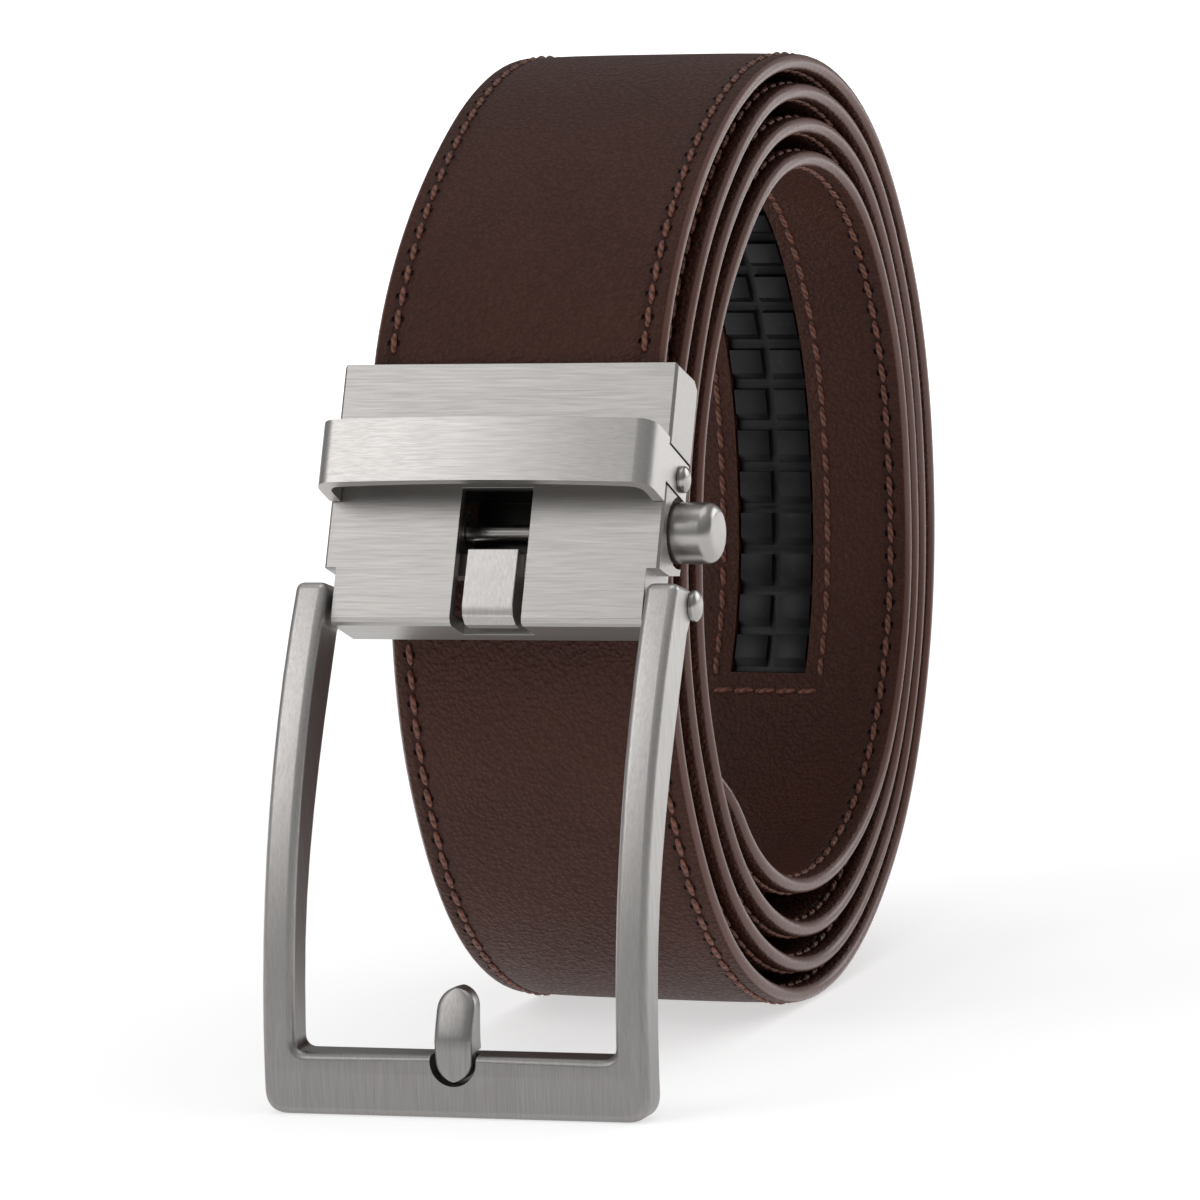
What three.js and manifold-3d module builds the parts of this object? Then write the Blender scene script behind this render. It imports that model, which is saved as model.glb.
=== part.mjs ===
// A ratchet belt standing on its edge like a wheel: a stitched leather strap rolled up in about
// four turns, with its automatic buckle hanging at the front and the frame's crossbar on the floor.
// Millimetres, +Z up. X runs across the strap, -Y is the front, where the buckle is.
import * as THREE from 'three';
import { mergeVertices } from 'three/addons/utils/BufferGeometryUtils.js';
import Module from 'manifold-3d';

const wasm = await Module();
wasm.setup();

// Strap and its winding
const strapWidth = 35;
const strapThickness = 2.1;
const strapEdgeRound = 0.5;
const strapInsert = 12.3;
const coilRadius = 50.4;
const coilSkew = 2.4;
const skewTurn = 40;
const turnGap = 1.5;
const mouthAngle = -62.4;
const tipAngle = 1320;
const tipRound = 15;
const tipFlat = 11;
const stepAngle = 7.5;

// Toothed track in the strap's inner face
const trackWidth = 9.3;
const trackLength = 285;
const trackEndAngle = 1206;
const trackPocketDepth = 1.4;
const trackBase = 0.25;
const trackDrop = 0.1;
const toothPitch = 5.1;
const toothWidth = 4.1;

// Buckle housing
const housingWidth = 40;
const housingLength = 30.1;
const housingDepth = 7;
const housingFace = 1.3;
const shoulderDrop = 23.6;
const neckWidth = 37.1;
const bayWidth = 31;
const bayTop = 13.4;
const webThickness = 1;
const backStripWidth = 9.6;
const floorThickness = 1.5;
const faceSlotWidth = 8.5;
const faceSlotTop = 14.4;
const floorSlotDepth = 4.6;
const edgeChamfer = 0.3;
const clampThickness = 1.2;

// Keeper bar over the housing's face
const keeperTop = 8;
const keeperHeight = 7.3;
const keeperSlope = 0.7;
const keeperStandoff = 5.8;
const keeperBow = 0.8;
const keeperThickness = 1.3;
const keeperCorner = 2.6;
const tongueTop = 9.4;
const tongueHeight = 4.2;
const tongueSlant = 0.9;
const tongueDepth = 6.3;
const keeperRivetDrop = 12.3;
const keeperRivetDepth = 4.3;

// Release knob, its cross rod and the pawl that turns on the rod
const knobRadius = 3.45;
const knobLength = 4.7;
const knobDome = 1.4;
const knobTravel = 2.2;
const rodRadius = 0.95;
const rodDrop = 18.2;
const rodDepth = 5.25;
const rodReach = 16.2;
const pawlWidth = 6.1;
const pawlTop = 21.3;
const pawlFace = 0.4;
const pawlBack = 4.6;
const pawlBar = 2.6;
const earSpread = 14;
const earThickness = 1.8;

// Frame: two bowed legs and a crossbar that hang on rivets
const hingeDrop = 26.8;
const hingeDepth = 4.2;
const frameWidth = 45.6;
const legWidth = 3.8;
const legBow = 106;
const legDepthTop = 6.6;
const legDepthFoot = 4.5;
const legTopRise = 3.3;
const legTopSlant = 1.7;
const frameDrop = 53.93;
const frameForward = 21.2;
const crossbarHeight = 7;
const frameCorner = 2.8;
const windowCorner = 1.4;
const rivetRadius = 0.9;
const rivetDome = 0.7;
const frameRivetHead = 1.8;
const keeperRivetHead = 1.55;

// Prong in the crossbar's notch
const prongWidth = 4.5;
const prongTop = 14.2;
const prongSeat = 4.1;
const prongStraight = 9;
const prongLean = 2.4;
const prongThickness = 4.7;
const notchDepth = 2.6;

// Clearances
const clearance = 0.3;
const notchClearance = 0.5;
const cutMargin = 1;

// The outermost turn's radius as a share of coilRadius, and the clear gap inside each turn as
// shares of turnGap, by degrees from the top over the back.
const WINDING = [
  { at: 0, first: 1.061, second: 1.03, third: 1.33, fourth: 1.33 },
  { at: 30, first: 1.048, second: 0.67, third: 0.77, fourth: 0.97 },
  { at: 60, first: 0.971, second: 0.83, third: 0.6, fourth: 0.47 },
  { at: 90, first: 0.919, second: 0.93, third: 0.43, fourth: 0.4 },
  { at: 120, first: 0.94, second: 0.67, third: 0.47, fourth: 0.36 },
  { at: 150, first: 1.016, second: 0.63, third: 0.83, fourth: 0.83 },
  { at: 180, first: 1.088, second: 0.67, third: 1.27, fourth: 2.07 },
  { at: 210, first: 1.082, second: 1.67, third: 1.47, fourth: 1.33 },
  { at: 240, first: 0.984, second: 1.95, third: 1.67, fourth: 0.6 },
  { at: 270, first: 0.9, second: 1.87, third: 1.73, fourth: 0.36 },
  { at: 300, first: 0.874, second: 1.67, third: 1.13, fourth: 0.36 },
  { at: 330, first: 0.915, second: 1.27, third: 1.63, fourth: 0.36 },
];
// The stretch before the first turn, from the buckle's mouth up the front.
const LEAD_IN = [
  { at: -90, radius: 0.957 },
  { at: -60, radius: 1.002 },
  { at: -30, radius: 1.03 },
];
// One tooth of the track, as shares of its pitch and height.
const TOOTH = [
  { along: 0.12, height: 0 },
  { along: 0.32, height: 1 },
  { along: 0.9, height: 1 },
  { along: 0.9, height: 0 },
];

const turns = ['second', 'third', 'fourth'];
// Between this radius and the roll's outside lies only the stretch that leads in from the mouth.
const leadInRadius = 0.97 * coilRadius;
const slotGap = clearance + strapThickness / 2;
const strapDepth = housingFace + slotGap;
const slotWidth = strapWidth + 2 * clearance;

const steel = { color: 0xc3bfba, metalness: 1, roughness: 0.35 };
const leather = { color: 0x3d2823, metalness: 0, roughness: 0.6 };
const blackPlastic = { color: 0x17181a, metalness: 0, roughness: 0.45 };

// Solids and meshes

function solidOf(geometry) {
  geometry.deleteAttribute('normal');
  geometry.deleteAttribute('uv');
  const merged = mergeVertices(geometry, 1e-4);
  const vertProperties = new Float32Array(merged.attributes.position.array);
  const triVerts = new Uint32Array(merged.index.array);
  return new wasm.Manifold(new wasm.Mesh({ numProp: 3, vertProperties, triVerts }));
}

function geometryOf(solid) {
  const mesh = solid.getMesh();
  const geometry = new THREE.BufferGeometry();
  geometry.setAttribute('position', new THREE.BufferAttribute(mesh.vertProperties, 3));
  geometry.setIndex(new THREE.BufferAttribute(mesh.triVerts, 1));
  geometry.computeVertexNormals();
  return geometry;
}

function named(name, geometry, look) {
  const mesh = new THREE.Mesh(geometry, new THREE.MeshStandardMaterial(look));
  mesh.name = name;
  return mesh;
}

const points = (pairs) => pairs.map(([x, y]) => new THREE.Vector2(x, y));

// A shape drawn in Y and Z, drawn out along X between two places.
function alongX(shape, from, to, chamfer = 0) {
  const geometry = new THREE.ExtrudeGeometry(shape, {
    depth: to - from - 2 * chamfer,
    bevelEnabled: chamfer > 0,
    bevelThickness: chamfer,
    bevelSize: chamfer,
    bevelOffset: -chamfer,
    bevelSegments: 1,
    curveSegments: 8,
  });
  geometry.translate(0, 0, from + chamfer);
  const turn = new THREE.Matrix4().makeBasis(
    new THREE.Vector3(0, 1, 0), new THREE.Vector3(0, 0, 1), new THREE.Vector3(1, 0, 0));
  geometry.applyMatrix4(turn);
  return solidOf(geometry);
}

// A buckle outline of [depth behind the face, drop below the mouth] pairs, drawn out along X.
function sidePlate(outline, from, to, chamfer = 0) {
  return alongX(new THREE.Shape(points(outline.map(([depth, drop]) => [depth, -drop]))), from, to, chamfer);
}

// A shape drawn in X and Z, drawn out along Y between two places.
function alongY(shape, from, to) {
  const geometry = new THREE.ExtrudeGeometry(shape, {
    depth: to - from, bevelEnabled: false, curveSegments: 12,
  });
  geometry.rotateX(Math.PI / 2);
  geometry.translate(0, to, 0);
  return solidOf(geometry);
}

function box(x, y, z) {
  const geometry = new THREE.BoxGeometry(x[1] - x[0], y[1] - y[0], z[1] - z[0]);
  geometry.translate((x[0] + x[1]) / 2, (y[0] + y[1]) / 2, (z[0] + z[1]) / 2);
  return solidOf(geometry);
}

// A block of the buckle, given by its ranges across, behind the face and below the mouth.
const block = (across, depth, drop) => box(across, depth, [-drop[1], -drop[0]]);

// A turned solid along X from [place along X, radius] pairs, seated at a depth and drop.
function turned(profile, depth, drop, sides = 24) {
  const geometry = new THREE.LatheGeometry(points(profile.map(([x, radius]) => [radius, x])), sides);
  geometry.rotateZ(-Math.PI / 2);
  geometry.translate(0, depth, -drop);
  return solidOf(geometry);
}

const pin = (radius, from, to, depth, drop) =>
  turned([[from, 0], [from, radius], [to, radius], [to, 0]], depth, drop);

// The roll isn't quite true: past the mouth, the strap's left edge lies further back than its
// right edge.
function skewed(geometry) {
  const position = geometry.attributes.position;
  const at = new THREE.Vector3();
  for (let k = 0; k < position.count; k += 1) {
    at.fromBufferAttribute(position, k);
    const angle = THREE.MathUtils.radToDeg(Math.atan2(at.y, at.z));
    const nearMouth = angle < 0 && Math.hypot(at.y, at.z) > leadInRadius;
    const share = nearMouth ? THREE.MathUtils.smoothstep(angle, mouthAngle, mouthAngle + skewTurn) : 1;
    position.setY(k, at.y + share * coilSkew * (0.5 - at.x / strapWidth));
  }
  geometry.computeVertexNormals();
  return geometry;
}

const mirrored = (solid) => solid.mirror([1, 0, 0]);
const both = (solid) => solid.add(mirrored(solid));

// The strap's centre line: the winding seen from the side

function windingCurve() {
  const rows = LEAD_IN.map((row) => new THREE.Vector2(row.at, row.radius * coilRadius));
  for (let turn = 0; turn <= turns.length; turn += 1) {
    for (const row of WINDING) {
      const gaps = turns.slice(0, turn).reduce((sum, key) => sum + row[key] * turnGap, 0);
      const radius = row.first * coilRadius - turn * strapThickness - gaps;
      rows.push(new THREE.Vector2(row.at + 360 * turn, radius));
    }
  }
  return new THREE.SplineCurve(rows);
}

const winding = windingCurve();
const windingStart = LEAD_IN[0].at;
const windingSpan = 360 * (turns.length + 1) + WINDING.at(-1).at - 360 - windingStart;

function centreAt(angle) {
  const radius = winding.getPoint((angle - windingStart) / windingSpan).y;
  const turn = THREE.MathUtils.degToRad(angle);
  return new THREE.Vector2(radius * Math.sin(turn), radius * Math.cos(turn));
}

// A station on the centre line, with its direction of travel and the way out of the coil.
function stationAt(angle) {
  const at = centreAt(angle);
  const along = centreAt(angle + 0.5).sub(centreAt(angle - 0.5)).normalize();
  return { at, along, out: new THREE.Vector2(-along.y, along.x) };
}

const offsetPoint = (station, offset) => station.at.clone().addScaledVector(station.out, offset);

// Stations at every step between two angles, on one grid for the whole strap.
function stationsBetween(from, to) {
  const stations = [stationAt(from)];
  for (let k = Math.floor(from / stepAngle) + 1; k * stepAngle < to - stepAngle / 6; k += 1) {
    if (k * stepAngle > from + stepAngle / 6) stations.push(stationAt(k * stepAngle));
  }
  stations.push(stationAt(to));
  return stations;
}

function bandShape(stations, inner, outer) {
  const over = stations.map((station) => offsetPoint(station, outer));
  const under = stations.map((station) => offsetPoint(station, inner)).reverse();
  return new THREE.Shape([...over, ...under].reverse());
}

const mouth = stationAt(mouthAngle);
const clampedEnd = { ...mouth, at: mouth.at.clone().addScaledVector(mouth.along, -strapInsert) };

// The angle a given length further back along the strap.
function angleBack(angle, length) {
  return angle - THREE.MathUtils.radToDeg(length / centreAt(angle).length());
}

const toothCount = Math.round(trackLength / toothPitch);
const toothAngles = [trackEndAngle];
for (let k = 0; k < toothCount; k += 1) toothAngles.push(angleBack(toothAngles[k], toothPitch));
const innerFace = -strapThickness / 2;
const pocketFloor = innerFace + trackPocketDepth;

function strapSolid() {
  const half = strapWidth / 2;
  const stations = [clampedEnd, ...stationsBetween(mouthAngle, tipAngle)];
  const band = bandShape(stations, innerFace, -innerFace);
  const whole = alongX(band, -half, half, strapEdgeRound);
  const pocketStart = angleBack(toothAngles.at(-1), clearance);
  const pocketStations = stationsBetween(pocketStart, angleBack(trackEndAngle, -clearance));
  const pocketHalf = trackWidth / 2 + clearance;
  const pocket = alongX(bandShape(pocketStations, innerFace - clearance, pocketFloor), -pocketHalf, pocketHalf);
  return whole.subtract(pocket).subtract(tipTrim());
}

// What is cut off the strap's end to round it.
function tipTrim() {
  const half = strapWidth / 2;
  const tip = new THREE.Shape();
  tip.moveTo(-half - cutMargin, cutMargin);
  tip.lineTo(-half - cutMargin, -tipRound);
  tip.lineTo(-half, -tipRound);
  tip.bezierCurveTo(-half, -tipRound / 3, -tipFlat, 0, 0, 0);
  tip.bezierCurveTo(tipFlat, 0, half, -tipRound / 3, half, -tipRound);
  tip.lineTo(half + cutMargin, -tipRound);
  tip.lineTo(half + cutMargin, cutMargin);
  const reach = strapThickness;
  const end = stationAt(tipAngle);
  const geometry = new THREE.ExtrudeGeometry(tip, { depth: 2 * reach, bevelEnabled: false, curveSegments: 8 });
  geometry.translate(0, 0, -reach);
  const place = new THREE.Matrix4().makeBasis(
    new THREE.Vector3(1, 0, 0),
    new THREE.Vector3(0, end.along.x, end.along.y),
    new THREE.Vector3(0, -end.along.y, end.along.x));
  place.setPosition(0, end.at.x, end.at.y);
  geometry.applyMatrix4(place);
  return solidOf(geometry);
}

function trackSolid() {
  const back = pocketFloor - 1.3 * clearance;
  const root = back - trackBase;
  const toothHeight = root - innerFace - trackDrop;
  const ends = toothAngles.map(stationAt).reverse();
  const base = alongX(bandShape(ends, root, back), -trackWidth / 2, trackWidth / 2);
  const crest = [];
  for (let k = 0; k < toothCount; k += 1) {
    const span = toothAngles[k + 1] - toothAngles[k];
    for (const row of TOOTH) {
      const station = stationAt(toothAngles[k] + span * row.along);
      crest.push(offsetPoint(station, root - row.height * toothHeight));
    }
  }
  const sunk = ends.map((station) => offsetPoint(station, (root + back) / 2));
  const teeth = alongX(new THREE.Shape([...sunk, ...crest]), trackWidth / 2 - toothWidth, trackWidth / 2);
  return base.add(both(teeth));
}

// Buckle pieces, in the buckle's own axes: the mouth's face edge is at the origin

const half = housingWidth / 2;
const neckHalf = neckWidth / 2;
const beyond = housingLength + cutMargin;
const wallInside = slotWidth / 2;
const recessInside = half - keeperThickness - clearance;

// The keeper's tongue in a side recess, grown by a margin for the recess itself.
function tongueOutline(margin) {
  const top = tongueTop - margin;
  const bottom = tongueTop + tongueHeight + margin;
  const back = tongueDepth + margin;
  return [
    [-cutMargin, top],
    [back, top + tongueSlant],
    [back, bottom + tongueSlant],
    [-cutMargin, bottom],
  ];
}

function housingSolid() {
  const lipRound = floorThickness / 2;
  const outline = [
    [0, 0],
    [0, housingLength - lipRound],
    [lipRound / 3, housingLength - lipRound / 3],
    [lipRound, housingLength],
    [housingDepth, housingLength],
    [housingDepth, housingFace],
    [housingDepth - housingFace, clearance],
  ];
  const shoulder = [
    [-cutMargin, shoulderDrop],
    [housingDepth / 2, shoulderDrop],
    [housingDepth + cutMargin, shoulderDrop - 1.2],
    [housingDepth + cutMargin, beyond],
    [-cutMargin, beyond],
  ];
  const backward = [housingFace, housingDepth + cutMargin];
  const floorTop = housingLength - floorThickness;
  const strip = [rodDepth + rodRadius + clearance, housingDepth];
  const knobWell = pin(knobRadius + clearance + edgeChamfer, half - knobTravel - 3 * clearance,
    half + cutMargin, rodDepth, rodDrop);
  const slotHalf = faceSlotWidth / 2;
  return sidePlate(outline, -half, half, edgeChamfer)
    .subtract(both(sidePlate(shoulder, neckHalf, half + cutMargin)))
    .subtract(block([-wallInside, wallInside], backward, [-cutMargin, bayTop]))
    .subtract(block([-bayWidth / 2, bayWidth / 2], backward, [bayTop + webThickness, floorTop]))
    .add(block([-backStripWidth / 2, backStripWidth / 2], strip, [bayTop, housingLength - floorThickness / 2]))
    .subtract(block([-slotHalf, slotHalf], [-cutMargin, 2 * housingFace], [faceSlotTop, beyond]))
    .subtract(block([-slotHalf, slotHalf], [-cutMargin, floorSlotDepth], [housingLength - 2 * floorThickness, beyond]))
    .subtract(both(sidePlate(tongueOutline(clearance), recessInside, half + cutMargin)))
    .subtract(both(pin(rivetRadius + clearance, wallInside - cutMargin, half, keeperRivetDepth, keeperRivetDrop)))
    .subtract(both(pin(rivetRadius + clearance, bayWidth / 2 - cutMargin, half, hingeDepth, hingeDrop)))
    .subtract(pin(rodRadius + clearance, -rodReach - knobTravel - clearance, half, rodDepth, rodDrop))
    .subtract(knobWell);
}

function clampPlateSolid() {
  const across = strapWidth / 2;
  const front = strapDepth + slotGap;
  return block([-across, across], [front, front + clampThickness], [clearance, bayTop - clearance]);
}

function keeperSolid() {
  const bow = (inset) => {
    const side = half - inset;
    const reach = -(keeperStandoff - inset);
    const corner = keeperCorner - inset / 2;
    const path = new THREE.Path();
    path.moveTo(-side, -clearance);
    path.lineTo(-side, reach + corner);
    path.quadraticCurveTo(-side, reach, -side + corner, reach);
    path.quadraticCurveTo(0, reach - 2 * keeperBow, side - corner, reach);
    path.quadraticCurveTo(side, reach, side, reach + corner);
    path.lineTo(side, -clearance);
    return path.getPoints(8);
  };
  const plan = new THREE.Shape([...bow(0), ...bow(keeperThickness).reverse()]);
  const tall = keeperHeight + 2 * keeperSlope;
  const geometry = new THREE.ExtrudeGeometry(plan, { depth: tall, bevelEnabled: false });
  geometry.translate(0, 0, -keeperTop - tall);
  const reach = keeperStandoff + keeperBow + cutMargin;
  const trim = [
    [-reach, keeperTop],
    [-keeperStandoff, keeperTop],
    [-clearance, keeperTop + keeperSlope],
    [-clearance, keeperTop + keeperHeight + keeperSlope],
    [-keeperStandoff, keeperTop + keeperHeight],
    [-reach, keeperTop + keeperHeight],
  ];
  const tongue = sidePlate(tongueOutline(0), half - keeperThickness, half)
    .subtract(pin(rivetRadius + clearance, wallInside, half + cutMargin, keeperRivetDepth, keeperRivetDrop));
  return solidOf(geometry).intersect(sidePlate(trim, -half, half)).add(both(tongue));
}

// A rivet whose shank runs out to a seat, under a domed head.
function rivetSolid(inside, seat, head, depth, drop) {
  const rim = seat + clearance;
  return turned([
    [inside, 0],
    [inside, rivetRadius],
    [rim, rivetRadius],
    [rim, head],
    [rim + rivetDome / 2, head * 0.86],
    [rim + rivetDome, head * 0.5],
    [rim + rivetDome, 0],
  ], depth, drop);
}

function knobSolid() {
  const base = half - 2 * clearance;
  const end = half + knobLength;
  const rim = end - knobDome;
  return turned([
    [-rodReach, 0],
    [-rodReach, rodRadius],
    [base, rodRadius],
    [base, knobRadius],
    [rim, knobRadius],
    [rim + knobDome * 0.45, knobRadius * 0.93],
    [rim + knobDome * 0.8, knobRadius * 0.72],
    [rim + knobDome * 0.95, knobRadius * 0.4],
    [end, 0],
  ], rodDepth, rodDrop, 32);
}

// The tail lies over the housing's face, and its teeth catch on the tongue's upper edge.
function pawlSolid() {
  const foot = housingLength - clearance;
  const tongue = [
    [pawlFace, pawlTop],
    [pawlFace - 0.2, foot - 2],
    [pawlFace + 0.2, foot - 0.8],
    [pawlFace + 1.2, foot - 0.1],
    [pawlFace + 2.6, foot],
    [pawlFace + 3, foot - 2],
    [pawlBack, foot - 3],
    [pawlBack, pawlTop],
  ];
  const ear = [
    [pawlBack - 2, pawlTop + pawlBar],
    [pawlBack, pawlTop + pawlBar],
    [rodDepth + 2, rodDrop + 0.8],
    [rodDepth + 2, rodDrop - 1.4],
    [rodDepth + 1.2, rodDrop - 2.1],
    [rodDepth - 1.2, rodDrop - 2.1],
    [rodDepth - 2, rodDrop - 1.2],
  ];
  const earHalf = earSpread / 2;
  return sidePlate(tongue, -pawlWidth / 2, pawlWidth / 2)
    .add(block([-earHalf, earHalf], [pawlBack - 2, pawlBack], [pawlTop, pawlTop + pawlBar]))
    .add(both(sidePlate(ear, earHalf - earThickness, earHalf)))
    .subtract(pin(rodRadius + clearance, -half, half, rodDepth, rodDrop));
}

// Frame pieces, in the frame's own axes: the hinge is at the origin and -Y is the front

const barTop = crossbarHeight - frameDrop;

function frameSolid() {
  const { lerp, smoothstep } = THREE.MathUtils;
  const bowAt = (height) => legBow - frameForward - Math.sqrt(legBow ** 2 - (height + frameDrop) ** 2);
  const front = [];
  const back = [];
  const steps = 12;
  for (let k = 0; k <= steps; k += 1) {
    const share = k / steps;
    const height = lerp(-frameDrop, legTopRise, share);
    const backHeight = lerp(-frameDrop, legTopRise - legTopSlant, share);
    const depth = lerp(legDepthFoot, legDepthTop, smoothstep(share, 0.3, 0.9));
    front.push([bowAt(height), height]);
    back.push([bowAt(backHeight) + depth, backHeight]);
  }
  const side = new THREE.Shape(points([...front, ...back.reverse()].reverse()));
  const outerHalf = frameWidth / 2;
  const window = new THREE.Shape();
  const inner = outerHalf - legWidth;
  window.moveTo(-inner, legBow);
  window.lineTo(-inner, barTop + windowCorner);
  window.quadraticCurveTo(-inner, barTop, -inner + windowCorner, barTop);
  window.lineTo(inner - windowCorner, barTop);
  window.quadraticCurveTo(inner, barTop, inner, barTop + windowCorner);
  window.lineTo(inner, legBow);
  const rounded = new THREE.Shape();
  rounded.moveTo(-outerHalf, legBow);
  rounded.lineTo(-outerHalf, -frameDrop + frameCorner);
  rounded.quadraticCurveTo(-outerHalf, -frameDrop, -outerHalf + frameCorner, -frameDrop);
  rounded.lineTo(outerHalf - frameCorner, -frameDrop);
  rounded.quadraticCurveTo(outerHalf, -frameDrop, outerHalf, -frameDrop + frameCorner);
  rounded.lineTo(outerHalf, legBow);
  return alongX(side, -outerHalf, outerHalf)
    .intersect(alongY(rounded, -legBow, legBow))
    .subtract(alongY(window, -legBow, legBow))
    .subtract(alongY(pillShape(notchClearance), -frameForward - cutMargin, notchBack))
    .subtract(both(pin(rivetRadius + clearance, inner - cutMargin, outerHalf + cutMargin, 0, 0)));
}

const notchBack = notchDepth - frameForward;
const prongBase = prongSeat - frameDrop;

// The prong's front outline, grown by a margin for its notch.
function pillShape(margin) {
  const radius = prongWidth / 2 + margin;
  const low = prongBase + prongWidth / 2;
  const high = prongTop - frameDrop - prongWidth / 2;
  const pill = new THREE.Shape();
  pill.absarc(0, low, radius, Math.PI, 2 * Math.PI, false);
  pill.absarc(0, high, radius, 0, Math.PI, false);
  return pill;
}

function prongSolid() {
  const front = -frameForward + 0.1;
  const back = -frameForward + prongThickness;
  const seat = barTop + clearance;
  const outline = [
    [front, prongBase - cutMargin],
    [notchBack - clearance, prongBase - cutMargin],
    [notchBack - clearance, seat],
    [back, seat],
    [back, prongTop - frameDrop - 2],
    [back - 0.6, prongTop - frameDrop],
    [front + prongLean, prongTop - frameDrop],
    [front + prongLean * 0.72, prongTop - frameDrop - 1.6],
    [front + prongLean * 0.16, prongStraight - frameDrop + 1],
    [front, prongStraight - frameDrop],
  ];
  return alongX(new THREE.Shape(points(outline)), -prongWidth / 2, prongWidth / 2)
    .intersect(alongY(pillShape(0), -frameForward - cutMargin, frameForward));
}

// Assembly

const belt = new THREE.Group();
belt.add(named('strap', skewed(geometryOf(strapSolid())), leather));
belt.add(named('ratchet_track', skewed(geometryOf(trackSolid())), blackPlastic));

// The housing lies along the strap where it enters, so its down direction is the way back to
// the strap's clamped end.
const buckle = new THREE.Group();
const tilt = Math.atan2(mouth.along.x, mouth.along.y);
const faceEdge = offsetPoint(mouth, strapDepth);
buckle.position.set(0, faceEdge.x, faceEdge.y);
buckle.rotation.x = -tilt;
belt.add(buckle);

const rivets = [
  ['keeper_rivet', rivetSolid(wallInside + clearance / 2, half, keeperRivetHead, keeperRivetDepth, keeperRivetDrop)],
  ['frame_rivet', rivetSolid(bayWidth / 2, frameWidth / 2, frameRivetHead, hingeDepth, hingeDrop)],
];
buckle.add(named('housing', geometryOf(housingSolid()), steel));
buckle.add(named('clamp_plate', geometryOf(clampPlateSolid()), steel));
buckle.add(named('keeper_bar', geometryOf(keeperSolid()), steel));
buckle.add(named('release_knob', geometryOf(knobSolid()), steel));
buckle.add(named('pawl', geometryOf(pawlSolid()), steel));
for (const [name, solid] of rivets) {
  buckle.add(named(`${name}_right`, geometryOf(solid), steel));
  buckle.add(named(`${name}_left`, geometryOf(mirrored(solid)), steel));
}

// The frame hangs forward until its crossbar stands on the floor that carries the coil.
const floor = new THREE.Box3().setFromObject(belt, true).min.z;
const hinge = new THREE.Vector3(0, hingeDepth, -hingeDrop);
hinge.applyEuler(buckle.rotation).add(buckle.position);
const reach = Math.hypot(frameForward, frameDrop);
const swing = Math.atan2(frameForward, frameDrop) - Math.acos(Math.min(1, (hinge.z - floor) / reach));
const frame = new THREE.Group();
frame.position.copy(hinge);
frame.rotation.x = swing;
frame.add(named('frame', geometryOf(frameSolid()), steel));
frame.add(named('prong', geometryOf(prongSolid()), steel));
belt.add(frame);

// The origin is under the middle of the whole part.
const bounds = new THREE.Box3().setFromObject(belt, true);
const middle = bounds.getCenter(new THREE.Vector3());
belt.position.set(-middle.x, -middle.y, -bounds.min.z);

export default belt;
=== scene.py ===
"""A ratchet belt, rolled up and standing on its edge, with its automatic buckle in front."""
import math

import bmesh
import bpy
from mathutils import Matrix, Vector


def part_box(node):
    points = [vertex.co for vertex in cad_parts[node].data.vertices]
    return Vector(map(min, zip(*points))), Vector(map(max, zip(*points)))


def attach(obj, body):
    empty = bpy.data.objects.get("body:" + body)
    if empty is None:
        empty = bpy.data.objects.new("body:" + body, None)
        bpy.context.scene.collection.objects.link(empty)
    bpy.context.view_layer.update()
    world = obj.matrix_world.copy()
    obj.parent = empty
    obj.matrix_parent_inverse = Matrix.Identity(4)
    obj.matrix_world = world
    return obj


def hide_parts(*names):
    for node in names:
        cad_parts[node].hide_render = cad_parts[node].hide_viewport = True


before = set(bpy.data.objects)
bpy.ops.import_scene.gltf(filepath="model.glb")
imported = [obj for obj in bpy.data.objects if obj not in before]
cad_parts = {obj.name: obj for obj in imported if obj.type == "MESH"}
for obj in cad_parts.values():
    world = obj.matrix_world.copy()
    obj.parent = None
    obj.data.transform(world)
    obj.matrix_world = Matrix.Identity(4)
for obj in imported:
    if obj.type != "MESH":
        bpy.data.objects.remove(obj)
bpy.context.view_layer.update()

# Camera
# A long lens from the front right, slightly above the roll, as a product is photographed. The view
# is tipped a little, so that the uprights lean in the picture.
CAMERA_PLACE = Vector((0.32952, -0.85923, 0.17640))
CAMERA_TURN = math.radians(21.246)
CAMERA_DROP = math.radians(7.902)
CAMERA_ROLL = math.radians(2.843)

ahead = Vector((
    -math.sin(CAMERA_TURN) * math.cos(CAMERA_DROP),
    math.cos(CAMERA_TURN) * math.cos(CAMERA_DROP),
    -math.sin(CAMERA_DROP)))
level = Vector((math.cos(CAMERA_TURN), math.sin(CAMERA_TURN), 0))
upright = level.cross(ahead)
picture_x = math.cos(CAMERA_ROLL) * level - math.sin(CAMERA_ROLL) * upright
picture_y = math.sin(CAMERA_ROLL) * level + math.cos(CAMERA_ROLL) * upright
camera_data = bpy.data.cameras.new("camera")
camera_data.lens = 240
camera_data.sensor_width = 36
camera_data.clip_start = 0.05
camera = bpy.data.objects.new("camera", camera_data)
camera.matrix_world = Matrix.Translation(CAMERA_PLACE) @ Matrix(
    (picture_x, picture_y, -ahead)).transposed().to_4x4()
bpy.context.scene.collection.objects.link(camera)
bpy.context.scene.camera = camera

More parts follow.
